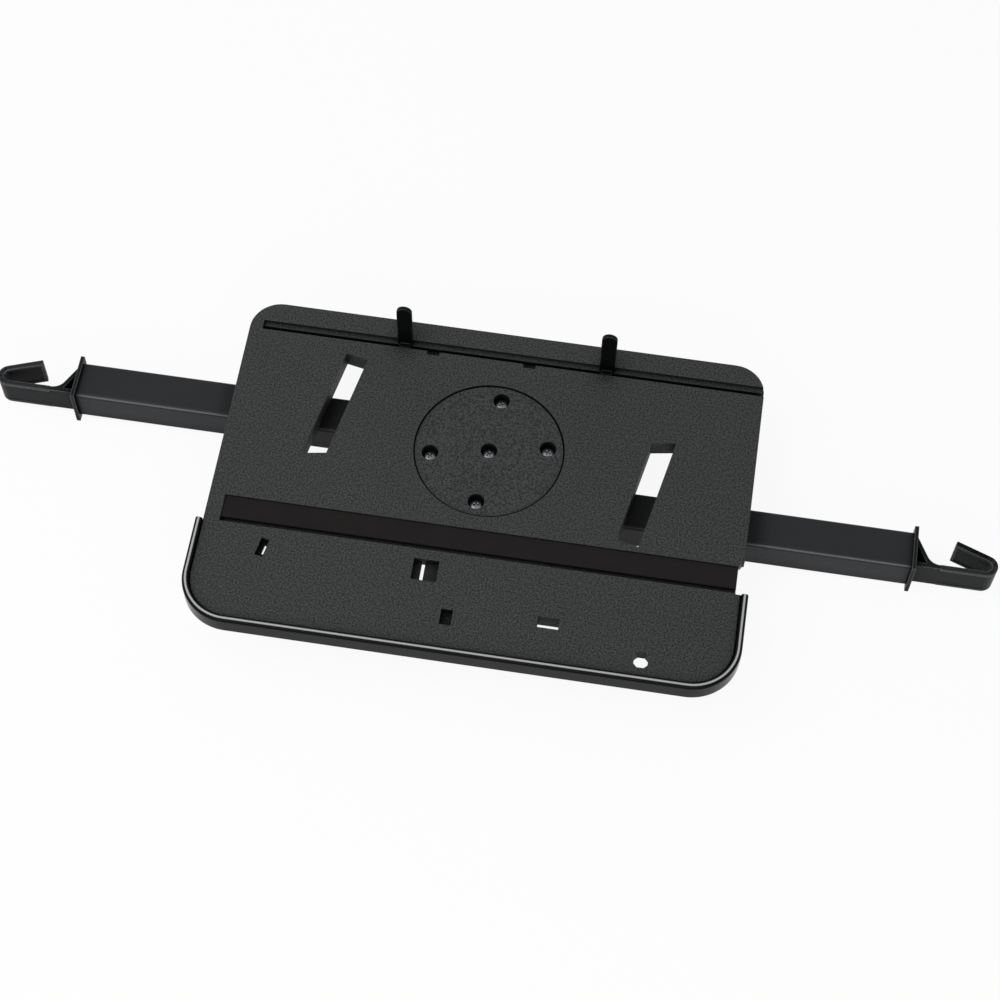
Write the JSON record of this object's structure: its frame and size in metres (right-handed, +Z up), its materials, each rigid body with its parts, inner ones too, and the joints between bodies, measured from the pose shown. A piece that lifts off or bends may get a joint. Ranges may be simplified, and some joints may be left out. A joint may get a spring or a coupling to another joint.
{
  "type": "headrest player mount",
  "caption": "Swivelling tray with a raised front lip and sliding stops, carried on telescopic square arms that end in J-shaped hooks for headrest posts.",
  "frame": {"origin": "on the swivel axis, at the flat underside of the arm housing", "axes": "+X along the arms to the right hook, +Y to the back edge of the tray, +Z up through the tray's face"},
  "size_m": [0.5764, 0.2051, 0.0746],
  "materials": {
    "grained_plastic": "fine pebble grain",
    "gloss_plastic": "smooth and shiny",
    "black_plastic": "satin",
    "arm_plastic": "smooth satin",
    "housing_plastic": "satin",
    "strip_rubber": "dull",
    "washer_plastic": "waxy",
    "screw_steel": "plated",
    "leaf_steel": "rolled"
  },
  "bodies": {
    "carrier": {"carrier_base": "housing_plastic", "carrier_cover": "housing_plastic", "cover_screws": "screw_steel", "hub_disc": "grained_plastic", "hub_screws": "screw_steel", "swivel_washer": "washer_plastic", "left_leaf": "leaf_steel", "right_leaf": "leaf_steel"},
    "tray": {"tray_plate": "grained_plastic", "front_rim": "gloss_plastic", "rim_screws": "screw_steel", "grip_strip": "strip_rubber"},
    "left_stop": {"left_stop": "black_plastic"},
    "right_stop": {"right_stop": "black_plastic"},
    "left_arm": {"left_arm": "arm_plastic", "left_hook": "black_plastic", "left_hook_screw": "screw_steel", "left_plug": "black_plastic"},
    "right_arm": {"right_arm": "arm_plastic", "right_hook": "black_plastic", "right_hook_screw": "screw_steel", "right_plug": "black_plastic"}
  },
  "joints": [
    {"name": "tray_swivel", "type": "hinge", "parent": "carrier", "child": "tray", "pos_m": [0, 0, 0.04], "axis": [0, 0, 1], "continuous": true},
    {"name": "left_arm_slide", "type": "slide", "parent": "carrier", "child": "left_arm", "axis": [-1, 0, 0], "range_m": [-0.08, 0.085]},
    {"name": "right_arm_slide", "type": "slide", "parent": "carrier", "child": "right_arm", "axis": [1, 0, 0], "range_m": [-0.08, 0.085]},
    {"name": "left_stop_slide", "type": "slide", "parent": "tray", "child": "left_stop", "axis": [1, 0, 0], "range_m": [-0.075, 0.008]},
    {"name": "right_stop_slide", "type": "slide", "parent": "tray", "child": "right_stop", "axis": [1, 0, 0], "range_m": [-0.035, 0.075]}
  ]
}
